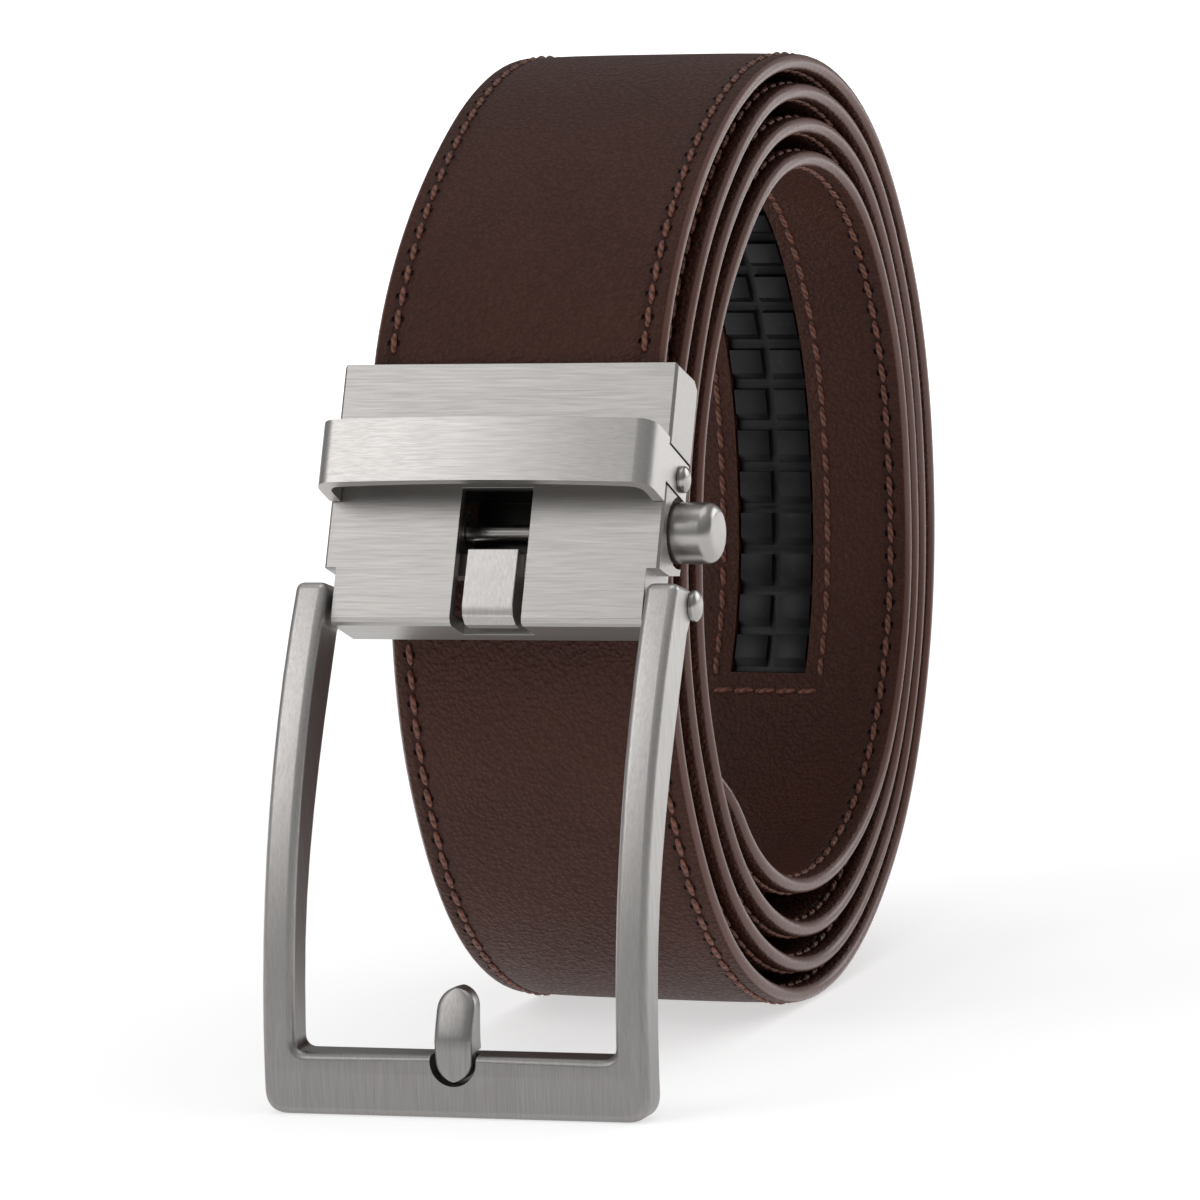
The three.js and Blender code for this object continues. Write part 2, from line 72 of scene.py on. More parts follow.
# Strap
# Two plies of fine-grained brown leather, glued and stitched near both edges, with the edges
# rounded and painted. It is rolled up in about four turns, from the buckle's mouth to the tip.
MM = 0.001
STRAP_WIDTH = 35.0
STRAP_THICKNESS = 2.1
STRAP_INSERT = 12.3
COIL_RADIUS = 50.4
COIL_SKEW = 2.4
SKEW_TURN = 40.0
TURN_GAP = 1.5
MOUTH_ANGLE = -62.4
TIP_ANGLE = 1320.0
TIP_LENGTH = 15.0
STEP_ANGLE = 2.5
STITCH_ROW = 15.1
STITCH_PITCH = 2.85
GROOVE_HALF = 0.55
GROOVE_DEPTH = 0.2
CROWN = 0.15
EDGE_THINNING = 0.09
POCKET_HALF = 4.95
POCKET_DEPTH = 1.4
POCKET_ANGLES = (803.0, 1206.5)
POCKET_STEP = 0.04
POCKET_WALL = 0.06
FIRST_STEP = 0.01
# How far before the tip the even steps end, and the steps from there on, in degrees.
TIP_TURN = 20
TIP_STEPS = (17, 14, 11, 8.5, 6.5, 5, 3.6, 2.4, 1.5, 0.8, 0.3, 0)
TIP_ROUNDNESS = 2.6
TIP_LEAST = 0.06
# The outermost turn's radius as a share of COIL_RADIUS, and the clear gaps inside the turns as
# shares of TURN_GAP, by degrees from the top over the back.
WINDING = (
    (0, 1.061, 1.03, 1.33, 1.33), (30, 1.048, 0.67, 0.77, 0.97), (60, 0.971, 0.83, 0.6, 0.47),
    (90, 0.919, 0.93, 0.43, 0.4), (120, 0.94, 0.67, 0.47, 0.36), (150, 1.016, 0.63, 0.83, 0.83),
    (180, 1.088, 0.67, 1.27, 2.07), (210, 1.082, 1.67, 1.47, 1.33), (240, 0.984, 1.95, 1.67, 0.6),
    (270, 0.9, 1.87, 1.73, 0.36), (300, 0.874, 1.67, 1.13, 0.36), (330, 0.915, 1.27, 1.63, 0.36),
)
LEAD_IN = ((-90, 0.957), (-60, 1.002), (-30, 1.03))
TURNS = 4

winding_radii = [share * COIL_RADIUS for _, share in LEAD_IN]
for turn in range(TURNS):
    for _, first, *gaps in WINDING:
        winding_radii.append(
            first * COIL_RADIUS - turn * STRAP_THICKNESS - sum(gaps[:turn]) * TURN_GAP)


def winding_point(angle):
    """The strap's middle line at an angle from the top over the back: Y and Z about the centre."""
    step = (angle - LEAD_IN[0][0]) / (WINDING[1][0] - WINDING[0][0])
    k = min(int(step), len(winding_radii) - 2)
    t = step - k
    before, start, end, after = (
        winding_radii[min(max(k + n, 0), len(winding_radii) - 1)] for n in (-1, 0, 1, 2))
    leave, arrive = (end - before) / 2, (after - start) / 2
    radius = ((2 * start - 2 * end + leave + arrive) * t ** 3
              + (-3 * start + 3 * end - 2 * leave - arrive) * t ** 2 + leave * t + start)
    turned = math.radians(angle)
    return Vector((radius * math.sin(turned), radius * math.cos(turned)))


class Station:
    """A place on the strap's middle line, with its way along, its way out and its length so far."""

    def __init__(self, angle, back=0.0):
        self.angle = angle
        self.along = (winding_point(angle + 0.5) - winding_point(angle - 0.5)).normalized()
        self.out = Vector((-self.along.y, self.along.x))
        self.at = winding_point(angle) - back * self.along
        self.length = -back

    def point(self, across, out):
        """The place of a point of the strap's section, with the roll's skew, in millimetres."""
        at = self.at + out * self.out
        t = min(max((self.angle - MOUTH_ANGLE) / SKEW_TURN, 0), 1)
        skew = (3 - 2 * t) * t * t * COIL_SKEW * (0.5 - across / STRAP_WIDTH)
        return Vector((across, at.x + skew, at.y)) + coil_centre


def station_row(angles):
    """Stations at these angles, with the strap's length added up from the mouth."""
    row = [Station(angle) for angle in angles]
    for last, this in zip(row, row[1:]):
        this.length = last.length + (this.at - last.at).length
    return row


half_strap = STRAP_WIDTH / 2
face = STRAP_THICKNESS / 2 - EDGE_THINNING
coil_centre = Vector((0, 0, 0))
strap_angles = [MOUTH_ANGLE + FIRST_STEP]
while strap_angles[-1] < TIP_ANGLE - TIP_TURN:
    strap_angles.append(strap_angles[-1] + STEP_ANGLE)
for edge_angle in POCKET_ANGLES:
    strap_angles += [edge_angle - POCKET_STEP, edge_angle + POCKET_STEP]
strap_angles += [TIP_ANGLE - left for left in TIP_STEPS]
strap_row = station_row(sorted(strap_angles))
strap_length = strap_row[-1].length

# The centre is found from the solid, which stands on the floor.
strap_low, strap_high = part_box("strap")
outer = [s.at + STRAP_THICKNESS / 2 * s.out for s in strap_row]
coil_centre = Vector((
    (strap_low.x + strap_high.x) / 2 / MM,
    strap_high.y / MM - COIL_SKEW - max(p.x for p in outer),
    strap_low.z / MM - min(p.y for p in outer)))

# Half of the section's outline on one face, from the edge's middle to the face's middle: the place
# across and the height of the surface.
FACE_OUTLINE = (
    (half_strap, 0.0), (half_strap - 0.07, 0.33), (half_strap - 0.24, face - 0.38),
    (half_strap - 0.5, face - 0.16), (half_strap - 0.86, face - 0.04), (half_strap - 1.35, face),
    (STITCH_ROW + GROOVE_HALF, face - 0.02),
    (STITCH_ROW + 0.3, face - GROOVE_DEPTH * 0.8), (STITCH_ROW, face - GROOVE_DEPTH),
    (STITCH_ROW - 0.3, face - GROOVE_DEPTH * 0.8), (STITCH_ROW - GROOVE_HALF, face),
    (13.4, face + CROWN * 0.35), (11.4, face + CROWN * 0.65), (8.4, face + CROWN * 0.9),
)
outer_half = FACE_OUTLINE + ((POCKET_HALF, face + CROWN), )
inner_half = tuple((x, -z) for x, z in FACE_OUTLINE[1:])
pocket_half = ((POCKET_HALF, -face), (POCKET_HALF - POCKET_WALL, -face), (0.0, -face))
right_side = tuple(reversed(outer_half)) + inner_half + pocket_half
left_side = [(-x, z) for x, z in reversed(right_side[:-1])]
section = list(right_side) + left_side + [(0.0, face + CROWN)]
pocket_corners = {
    k for k, (x, z) in enumerate(section) if z == -face and abs(x) <= POCKET_HALF - POCKET_WALL}


def tip_share(left):
    """The strap's half width near its tip, as a share, by the length that is left."""
    if left >= TIP_LENGTH:
        return 1.0
    return max((1 - (1 - left / TIP_LENGTH) ** TIP_ROUNDNESS) ** 0.5, TIP_LEAST)


# A flat sheet with a row of points for each station, which is wrapped round the section, rolled up
# along the winding and closed at its seam and its two ends.
strap_mesh = bmesh.new()
laid = strap_mesh.verts.layers.float_vector.new("laid")
strap_row.insert(0, Station(MOUTH_ANGLE, STRAP_INSERT))
bmesh.ops.create_grid(
    strap_mesh, x_segments=len(section), y_segments=len(strap_row) - 1, size=1)
strap_mesh.verts.ensure_lookup_table()
for number, vert in enumerate(strap_mesh.verts):
    station = strap_row[number // (len(section) + 1)]
    corner = number % (len(section) + 1) % len(section)
    across, out = section[corner]
    if corner in pocket_corners and POCKET_ANGLES[0] < station.angle < POCKET_ANGLES[1]:
        out += POCKET_DEPTH
    vert.co = station.point(across * tip_share(strap_length - station.length), out)
    vert[laid] = Vector((across, station.length, out))
bmesh.ops.remove_doubles(strap_mesh, verts=strap_mesh.verts, dist=1e-4)
ends = [edge for edge in strap_mesh.edges if edge.is_boundary]
bmesh.ops.holes_fill(strap_mesh, edges=ends, sides=0)
bmesh.ops.recalc_face_normals(strap_mesh, faces=strap_mesh.faces)
bmesh.ops.scale(strap_mesh, vec=(MM, MM, MM), verts=strap_mesh.verts)


def finished(name, mesh, material, sharp=40.0):
    """Makes an object of a bmesh, shaded smooth up to an angle between its faces."""
    for edge in mesh.edges:
        edge.smooth = len(edge.link_faces) == 2 and edge.calc_face_angle() < math.radians(sharp)
    for polygon in mesh.faces:
        polygon.smooth = True
    data = bpy.data.meshes.new(name)
    mesh.to_mesh(data)
    mesh.free()
    data.materials.append(material)
    piece = bpy.data.objects.new(name, data)
    bpy.context.scene.collection.objects.link(piece)
    return piece


class Socket:
    """One output of a material's nodes. Arithmetic on it adds Math nodes; node() adds any other."""

    def __init__(self, tree, socket=None):
        self.tree = tree
        self.socket = socket

    def node(self, kind, settings=None, values=None, output=0):
        made = self.tree.nodes.new("ShaderNode" + kind)
        for name, value in (settings or {}).items():
            if name == "stops":
                ramp = made.color_ramp
                while len(ramp.elements) < len(value):
                    ramp.elements.new(0.5)
                for element, (position, colour) in zip(ramp.elements, value):
                    element.position = position
                    element.color = (
                        (*colour, 1) if isinstance(colour, tuple) else (colour,) * 3 + (1,))
            else:
                setattr(made, name, value)
        for name, value in (values or {}).items():
            if isinstance(value, Socket):
                self.tree.links.new(value.socket, made.inputs[name])
            else:
                made.inputs[name].default_value = value
        return Socket(self.tree, made.outputs[output])

    def math(self, operation, *others):
        return self.node("Math", {"operation": operation}, dict(enumerate((self, *others))))

    def __add__(self, other):
        return self.math("ADD", other)

    def __mul__(self, other):
        return self.math("MULTIPLY", other)

    def __sub__(self, other):
        return self.math("SUBTRACT", other)

    def __rsub__(self, other):
        return self.node("Math", {"operation": "SUBTRACT"}, {0: other, 1: self})

    __radd__ = __add__
    __rmul__ = __mul__

    def step(self, low, high):
        """0 below low, 1 above high, and smooth between them; low may be the larger."""
        return self.node("MapRange", {"interpolation_type": "SMOOTHSTEP"}, {
            "Value": self, "From Min": low, "From Max": high})

    def mixed(self, colour, other):
        """A colour where this is 0 and another where it is 1."""
        values = {0: self, 6: colour, 7: other}
        for key in (6, 7):
            if isinstance(values[key], tuple):
                values[key] = (*values[key], 1)
        return self.node("Mix", {"data_type": "RGBA"}, values, output=2)


def material_of(name, fixed):
    """A new material with fixed values on its shader: the material, a first socket, the shader."""
    material = bpy.data.materials.new(name)
    material.use_nodes = True
    tree = material.node_tree
    shader = tree.nodes["Principled BSDF"]
    for key, value in fixed.items():
        shader.inputs[key].default_value = value
    return material, Socket(tree), shader


def feed(shader, links):
    """Joins sockets to a shader's inputs."""
    for key, value in links.items():
        value.tree.links.new(value.socket, shader.inputs[key])


LEATHER = (0.064, 0.0202, 0.0126)
LEATHER_PIT = (0.034, 0.0108, 0.0068)
EDGE_PAINT = (0.122, 0.054, 0.042)
LEATHER_BY_ROW = (0.022, 0.0095, 0.0075)
# Near black for the stitch holes: painted shade in the holes.
STITCH_HOLE_SHADE = (0.0025, 0.0012, 0.001)

leather, start, shader = material_of("brown_leather", {
    "Specular IOR Level": 0.19, "Coat Roughness": 0.22})
laid_at = start.node("Attribute", {"attribute_name": "laid"}, output="Vector")
across = laid_at.node("SeparateXYZ", values={0: laid_at})
along = Socket(leather.node_tree, across.socket.node.outputs[1])
from_middle = across.math("ABSOLUTE")
soft_noise = start.node(
    "TexNoise", values={"Vector": laid_at, "Scale": 1.6, "Detail": 3.0}, output=1)
strayed = start.node("VectorMath", {"operation": "MULTIPLY_ADD"}, {
    0: soft_noise, 1: (0.6, 0.6, 0.6), 2: laid_at})
pebbles = start.node("TexVoronoi", {"feature": "SMOOTH_F1"}, {
    "Vector": strayed, "Scale": 1.9, "Smoothness": 0.4})
creases = start.node("TexNoise", values={
    "Vector": laid_at, "Scale": 0.9, "Detail": 5.0, "Roughness": 0.6, "Distortion": 0.5})
clouds = start.node("TexNoise", values={"Vector": laid_at, "Scale": 0.07, "Detail": 3.0})
edge_paint = from_middle.step(half_strap - 0.62, half_strap - 0.36)
from_stitch = (along * (1 / STITCH_PITCH)).math("FRACT").math("SUBTRACT", 0.5).math("ABSOLUTE")
in_hole = from_stitch.step(0.36, 0.45)
in_row = (from_middle - STITCH_ROW).math("ABSOLUTE").step(0.8, 0.5)
beside_row = (from_middle - STITCH_ROW).math("ABSOLUTE").step(1.4, 0.1)
pits = pebbles.step(0.25, 0.65)
tone = pits * 0.35 + creases.step(0.4, 0.7) * 0.2 + clouds.step(0.3, 0.7) * 0.25
hide = tone.mixed(LEATHER, LEATHER_PIT)
hide = (beside_row * 0.4).mixed(hide, LEATHER_BY_ROW)
# The stitch holes are painted near black: painted shade in the holes.
hide = (in_row * in_hole).mixed(hide, STITCH_HOLE_SHADE)
relief = pebbles * -0.5 + creases * 0.7
relief = relief * (1 - edge_paint * 0.9) - in_row * in_hole * 2.0
bump = start.node("Bump", values={"Strength": 1.0, "Distance": 0.00032, "Height": relief})
feed(shader, {
    "Base Color": edge_paint.mixed(hide, EDGE_PAINT),
    "Roughness": 0.39 + pits * 0.12 - edge_paint * 0.1,
    "Coat Weight": edge_paint * 0.45,
    "Normal": bump,
})

strap = finished("strap_leather", strap_mesh, leather, sharp=50)
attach(strap, "buckle")
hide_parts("strap")

# Stitching
# Waxed reddish-brown thread in lockstitch, in a shallow groove near both edges of each face, with
# a second box of it round the track's window.
THREAD_HALF = (0.38, 1.27, 0.36)
THREAD_LIFT = 0.1
THREAD_FULLNESS = 0.7
THREAD_SLANT = 5
TWIST_SHIFT = 2.56
ROW_START = 0.5
ROW_END = 4
BOX_ROW = 6.9
BOX_ANGLES = (800.0, 1210.0)
BOX_STITCHES = 5
DENSE_ANGLE = 0.5

stitch_places = []


def stitch(place, way, out, number):
    """Notes where one stitch goes: its middle, its way along and the way out of the leather."""
    side = way.cross(out).normalized()
    stitch_places.append((place, Matrix((side, way, out)).transposed().to_4x4(), number))


dense_row = station_row([
    MOUTH_ANGLE + k * DENSE_ANGLE for k in range(int((TIP_ANGLE - MOUTH_ANGLE) / DENSE_ANGLE))])


def at_length(length, cursor):
    """The dense station pair round a length, and the share between them."""
    while dense_row[cursor + 1].length < length:
        cursor += 1
    low, high = dense_row[cursor], dense_row[cursor + 1]
    return cursor, low, high, (length - low.length) / (high.length - low.length)


def stitch_row(across_at, face_at, start_length, end_length):
    """A row of stitches along the strap on one face."""
    cursor = 0
    number = int(start_length / STITCH_PITCH) + 1
    while number * STITCH_PITCH + STITCH_PITCH / 2 < end_length:
        length = number * STITCH_PITCH
        cursor, low, high, share = at_length(length, cursor)
        narrowed = across_at * tip_share(strap_length - length)
        place = low.point(narrowed, face_at).lerp(high.point(narrowed, face_at), share)
        way = (high.point(narrowed, face_at) - low.point(narrowed, face_at)).normalized()
        out = Vector((0, low.out.x, low.out.y)) * (1 if face_at > 0 else -1)
        stitch(place, way, out, number)
        number += 1


seat = face - GROOVE_DEPTH + THREAD_LIFT
for across_at in (STITCH_ROW, -STITCH_ROW):
    for face_at in (seat, -seat):
        stitch_row(across_at, face_at, ROW_START, strap_length - ROW_END)
box_start = next(s.length for s in dense_row if s.angle >= BOX_ANGLES[0])
box_end = next(s.length for s in dense_row if s.angle >= BOX_ANGLES[1])
box_seat = -(face + CROWN * 0.5)
for across_at in (BOX_ROW, -BOX_ROW):
    stitch_row(across_at, box_seat, box_start, box_end)
for length in (box_start, box_end):
    _, low, high, share = at_length(length, 0)
    out = -Vector((0, low.out.x, low.out.y))
    for k in range(BOX_STITCHES):
        across_at = (k - BOX_STITCHES // 2) * 2 * BOX_ROW / BOX_STITCHES
        place = low.point(across_at, box_seat).lerp(high.point(across_at, box_seat), share)
        stitch(place, Vector((1, 0, 0)), out, k)

# One stitch is a capsule of thread whose ends dip into its holes.
one_stitch = bmesh.new()
bmesh.ops.create_uvsphere(one_stitch, u_segments=6, v_segments=8, radius=1)
bmesh.ops.rotate(one_stitch, matrix=Matrix.Rotation(math.pi / 2, 3, "X"), verts=one_stitch.verts)
for vert in one_stitch.verts:
    vert.co.y = math.copysign(abs(vert.co.y) ** THREAD_FULLNESS, vert.co.y)
bmesh.ops.scale(one_stitch, vec=THREAD_HALF, verts=one_stitch.verts)
bmesh.ops.rotate(
    one_stitch, matrix=Matrix.Rotation(math.radians(THREAD_SLANT), 3, "Z"), verts=one_stitch.verts)
stitch_data = bpy.data.meshes.new("one_stitch")
one_stitch.to_mesh(stitch_data)
one_stitch.free()
stitches = bmesh.new()
for _ in stitch_places:
    stitches.from_mesh(stitch_data)
twist = stitches.verts.layers.float_vector.new("twist")
stitches.verts.ensure_lookup_table()
points_each = len(stitch_data.vertices)
for k, vert in enumerate(stitches.verts):
    place, basis, number = stitch_places[k // points_each]
    vert[twist] = vert.co + Vector((0, number * STITCH_PITCH * TWIST_SHIFT, 0))
    vert.co = (place + basis @ vert.co) * MM
bpy.data.meshes.remove(stitch_data)

THREAD = (0.225, 0.085, 0.056)
THREAD_DARK = (0.05, 0.018, 0.013)

thread, start, shader = material_of("waxed_thread", {"Roughness": 0.5, "Specular IOR Level": 0.4})
twist_at = start.node("Attribute", {"attribute_name": "twist"}, output="Vector")
strands = start.node("TexWave", {"bands_direction": "DIAGONAL"}, {
    "Vector": twist_at, "Scale": 0.62, "Distortion": 0.6, "Detail": 1.0})
wear = start.node("TexNoise", values={"Vector": twist_at, "Scale": 1.4, "Detail": 3.0})
bump = start.node("Bump", values={"Strength": 0.8, "Distance": 0.00012, "Height": strands})
feed(shader, {
    "Base Color": (strands * 0.55 + wear * 0.45).step(0.0, 0.8).mixed(THREAD_DARK, THREAD),
    "Normal": bump,
})
stitching = finished("stitching", stitches, thread, sharp=80)
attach(stitching, "buckle")

# Ratchet track
# A strip of hard black plastic in a pocket of the strap's inner face, moulded with two columns of
# saw teeth.
PLASTIC = (0.0045, 0.0045, 0.005)
PLASTIC_WORN = (0.014, 0.014, 0.014)


def softened(node, width, segments=2, shortest=0.0, kept=lambda edge: False, clamped=False):
    """A copy of a solid with flat faces whole and hard edges rolled over, but not the kept ones."""
    mesh = bmesh.new()
    mesh.from_mesh(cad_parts[node].data)
    bmesh.ops.remove_doubles(mesh, verts=mesh.verts, dist=2e-6)
    bmesh.ops.dissolve_limit(
        mesh, angle_limit=math.radians(1), verts=mesh.verts, edges=mesh.edges,
        use_dissolve_boundaries=False)
    hard = [
        edge for edge in mesh.edges
        if len(edge.link_faces) == 2 and edge.calc_face_angle() > math.radians(25)
        and edge.calc_length() > shortest and not kept(edge)]
    bmesh.ops.bevel(
        mesh, geom=hard, offset=width * MM, segments=segments, profile=0.5, affect="EDGES",
        material=-1, clamp_overlap=clamped, miter_outer="ARC")
    bmesh.ops.recalc_face_normals(mesh, faces=mesh.faces)
    return mesh


plastic, start, shader = material_of("black_plastic", {"Specular IOR Level": 0.24})
place = start.node("TexCoord", output="Object")
scuffs = start.node("TexNoise", values={"Vector": place, "Scale": 900.0, "Detail": 4.0})
smears = start.node("TexNoise", values={"Vector": place, "Scale": 90.0, "Detail": 2.0})
bump = start.node("Bump", values={"Strength": 0.25, "Distance": 0.00004, "Height": scuffs})
feed(shader, {
    "Base Color": (scuffs.step(0.55, 0.75) * 0.6).mixed(PLASTIC, PLASTIC_WORN),
    "Roughness": 0.3 + smears * 0.18,
    "Normal": bump,
})
track = finished("toothed_track", softened("ratchet_track", 0.07, clamped=True), plastic, sharp=35)
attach(track, "buckle")
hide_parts("ratchet_track")

# Housing
# A die-cast zinc body, nickel plated and brushed across, with its edges broken. The strap's end
# goes in at the top, and the pawl shows through the slot in its face.
NICKEL = (0.56, 0.54, 0.522)
CAST_NICKEL = (0.47, 0.452, 0.436)
SCRATCH_SHADE = 0.74
# The share of the tint that is left where painted shade darkens the plating.
PAINTED_SHADE_SHARE = 0.06


def brushed(name, stretch, tint=NICKEL, roughness=0.3, painted_shade=None):
    """Nickel with fine scratches; stretch gives how close they lie along each axis, per millimetre.
    The last argument makes a share from a place, by which painted shade darkens the plating there."""
    metal, start, shader = material_of(name, {"Metallic": 1.0})
    place = start.node("TexCoord", output="Object")
    drawn = start.node("Mapping", {"vector_type": "POINT"}, {
        "Vector": place, "Scale": tuple(s / MM for s in stretch)})
    fine = start.node("TexNoise", values={
        "Vector": drawn, "Scale": 1.0, "Detail": 2.0, "Roughness": 0.5})
    broad = start.node("TexNoise", values={"Vector": drawn, "Scale": 0.3, "Detail": 1.0})
    tone = fine.step(0.25, 0.8) * 0.6 + broad.step(0.25, 0.75) * 0.2
    bump = start.node("Bump", values={
        "Strength": 0.25, "Distance": 0.00002, "Height": fine + broad * 0.3})
    colour = tone.mixed(tint, tuple(SCRATCH_SHADE * share for share in tint))
    # Painted shade: the plating is darkened by the share that the given function makes.
    if painted_shade:
        colour = painted_shade(place).mixed(colour, tuple(PAINTED_SHADE_SHARE * share for share in tint))
    feed(shader, {
        "Base Color": colour,
        "Roughness": roughness + fine * 0.14,
        "Normal": bump,
    })
    return metal


def even_flats(piece):
    """Shades a piece's flat faces flat, so that only its rolled edges bend the light."""
    weighted = piece.modifiers.new("even_flats", "WEIGHTED_NORMAL")
    weighted.keep_sharp = True
    return piece


# The front edge of the housing's mouth, and the leaning housing's own ways back and down.
MOUTH_EDGE_Y = -0.03449
_, housing_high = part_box("housing")
MOUTH_EDGE = Vector((0, MOUTH_EDGE_Y, housing_high.z))
BACKWARD = Vector((0, 0.92061, -0.39049))
DOWNWARD = Vector((0, -0.39049, -0.92061))
# Where the bay's painted shade begins and where it is full, from its sides, top, bottom and face.
BAY_SIDE = (15.9 * MM, 15.4 * MM)
BAY_TOP = (13.2 * MM, 13.8 * MM)
BAY_BOTTOM = (28.9 * MM, 28.5 * MM)
BAY_FACE = (0.5 * MM, 1.8 * MM)


def painted_bay_shade(place):
    """How far a place lies inside the housing's bay, where painted shade darkens the plating."""
    from_mouth = place.node("VectorMath", {"operation": "SUBTRACT"}, {0: place, 1: MOUTH_EDGE})
    depth, drop = (
        from_mouth.node(
            "VectorMath", {"operation": "DOT_PRODUCT"}, {0: from_mouth, 1: way}, output=1)
        for way in (BACKWARD, DOWNWARD))
    across = from_mouth.node("SeparateXYZ", values={0: from_mouth}).math("ABSOLUTE")
    within = across.step(*BAY_SIDE) * drop.step(*BAY_TOP) * drop.step(*BAY_BOTTOM)
    return within * depth.step(*BAY_FACE)


# The housing's plating is painted near black inside its bay: painted shade seen through the slot.
cast_body = brushed("nickel_housing", (0.2, 9.0, 9.0), CAST_NICKEL, painted_shade=painted_bay_shade)
brushed_across = brushed("nickel_brushed_across", (0.2, 9.0, 9.0))
brushed_down = brushed("nickel_brushed_down", (9.0, 4.0, 0.25))

housing = even_flats(finished(
    "buckle_housing", softened("housing", 0.35, segments=3, shortest=0.4 * MM, clamped=True),
    cast_body, sharp=50))
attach(housing, "buckle")
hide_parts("housing")

# Clamp plate
# A steel plate inside the housing's mouth, pressed onto the strap's end. It can't be seen there, so
# the solid itself is shown.
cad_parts["clamp_plate"].data.materials.clear()
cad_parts["clamp_plate"].data.materials.append(brushed_across)

# Keeper bar
# A bar of the same brushed metal, bowed forward over the housing's face, that holds the tail of
# the belt flat. Its two tongues sit in the housing's side recesses.
keeper = even_flats(finished(
    "keeper", softened("keeper_bar", 0.5, segments=3, shortest=0.3 * MM, clamped=True),
    brushed_across, sharp=50))
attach(keeper, "buckle")
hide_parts("keeper_bar")

# Rivets
# Four polished domed pins: two hold the keeper bar's tongues and two carry the frame's legs. Each
# is turned, with its head close on the piece that it holds.
POLISHED = (0.40, 0.385, 0.37)
POLISHED_HAZE = (0.38, 0.365, 0.35)

polished, start, shader = material_of("polished_nickel", {"Metallic": 1.0})
place = start.node("TexCoord", output="Object")
haze = start.node("TexNoise", values={"Vector": place, "Scale": 400.0, "Detail": 4.0})
swirl = start.node("TexNoise", values={"Vector": place, "Scale": 2500.0, "Detail": 2.0})
bump = start.node("Bump", values={"Strength": 0.08, "Distance": 0.00002, "Height": swirl})
feed(shader, {
    "Base Color": haze.step(0.3, 0.75).mixed(POLISHED, POLISHED_HAZE),
    "Roughness": 0.22 + haze * 0.16,
    "Normal": bump,
})


def turned_piece(outline, centre, segments=48):
    """A solid turned about an axis along X, from [place along X, radius] pairs in millimetres."""
    mesh = bmesh.new()
    points = [mesh.verts.new((x, 0, radius)) for x, radius in outline]
    lines = [mesh.edges.new(pair) for pair in zip(points, points[1:])]
    bmesh.ops.spin(
        mesh, geom=points + lines, cent=(0, 0, 0), axis=(1, 0, 0), angle=2 * math.pi,
        steps=segments, use_merge=True)
    bmesh.ops.remove_doubles(mesh, verts=mesh.verts, dist=1e-4)
    bmesh.ops.scale(mesh, vec=(MM, MM, MM), verts=mesh.verts)
    bmesh.ops.translate(mesh, vec=centre, verts=mesh.verts)
    bmesh.ops.recalc_face_normals(mesh, faces=mesh.faces)
    return mesh


def dome(start_at, radius, height, rings=6):
    """The outline of a dome from its rim to its top."""
    turns = [math.pi / 2 * k / rings for k in range(rings + 1)]
    return [(start_at + height * math.sin(t), radius * math.cos(t)) for t in turns]


RIVET_HEAD_RISE = 0.7
RIVET_GAP = 0.26
RIVET_SHANK = 0.9
RIVET_UNDERSIDE = 0.97
RIVET_RIM = 0.12
for node in ("keeper_rivet_right", "keeper_rivet_left", "frame_rivet_right", "frame_rivet_left"):
    low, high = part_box(node)
    side = 1 if node.endswith("right") else -1
    inside, outside = (low.x, high.x) if side > 0 else (high.x, low.x)
    head = (high.z - low.z) / 2 / MM
    reach = abs(outside - inside) / MM - RIVET_HEAD_RISE
    rim = reach - RIVET_GAP
    outline = [
        (0, 0), (0, RIVET_SHANK), (rim, RIVET_SHANK), (rim, head * RIVET_UNDERSIDE),
        (rim + RIVET_RIM, head)]
    outline += dome(reach, head, RIVET_HEAD_RISE)[1:]
    middle = (low + high) / 2
    mesh = turned_piece([(x * side, r) for x, r in outline], Vector((inside, middle.y, middle.z)))
    rivet = finished(node.replace("rivet", "pin"), mesh, polished, sharp=35)
    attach(rivet, "buckle")
    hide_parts(node)

# Release knob
# A polished button on the end of a cross rod, turned in one piece. Pressing it in turns the pawl
# back off the track.
KNOB_RADIUS = 3.45
KNOB_LENGTH = 5.3
KNOB_ROUND = 1.4
KNOB_BEVEL = 0.25
ROD_RADIUS = 0.95

low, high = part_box("release_knob")
reach = (high.x - low.x) / MM
base = reach - KNOB_LENGTH
outline = [
    (0, 0), (0, ROD_RADIUS), (base, ROD_RADIUS), (base, KNOB_RADIUS - KNOB_BEVEL),
    (base + KNOB_BEVEL, KNOB_RADIUS)]
outline += [
    (reach - KNOB_ROUND * (1 - math.sin(t)), KNOB_RADIUS - KNOB_ROUND * (1 - math.cos(t)))
    for t in (math.pi / 2 * k / 8 for k in range(8))]
outline += [(reach - 0.06, 1.2), (reach, 0)]
middle = (low + high) / 2
knob = finished(
    "release_button", turned_piece(outline, Vector((low.x, middle.y, middle.z)), 64),
    polished, sharp=35)
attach(knob, "release")
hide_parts("release_knob")

# Pawl
# A sprung tongue on two ears that turns on the knob's rod. It is brushed lengthways, and its upper
# edge catches the teeth of the track.
pawl = even_flats(finished(
    "pawl_tongue", softened("pawl", 0.3, segments=3, shortest=0.5 * MM, clamped=True),
    brushed_down, sharp=50))
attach(pawl, "pawl")
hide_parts("pawl")

# Frame
# One cast piece: two bowed legs, thicker at the top, and a flat crossbar, brushed lengthways. Its
# edges are rolled over, but not round the rivets' holes or in the prong's notch.
FRAME_NICKEL = (0.54, 0.52, 0.505)
BAR_TOP = 7.3
HOLE_REACH = 1.4
NOTCH_REACH = 2.85


def painted_crossbar_shade(place):
    """How much painted shade darkens the plating, from the legs' lower part down to the crossbar.
    """
    return place.node("SeparateXYZ", values={0: place}, output=2).step(0.03, 0.004) * 0.4
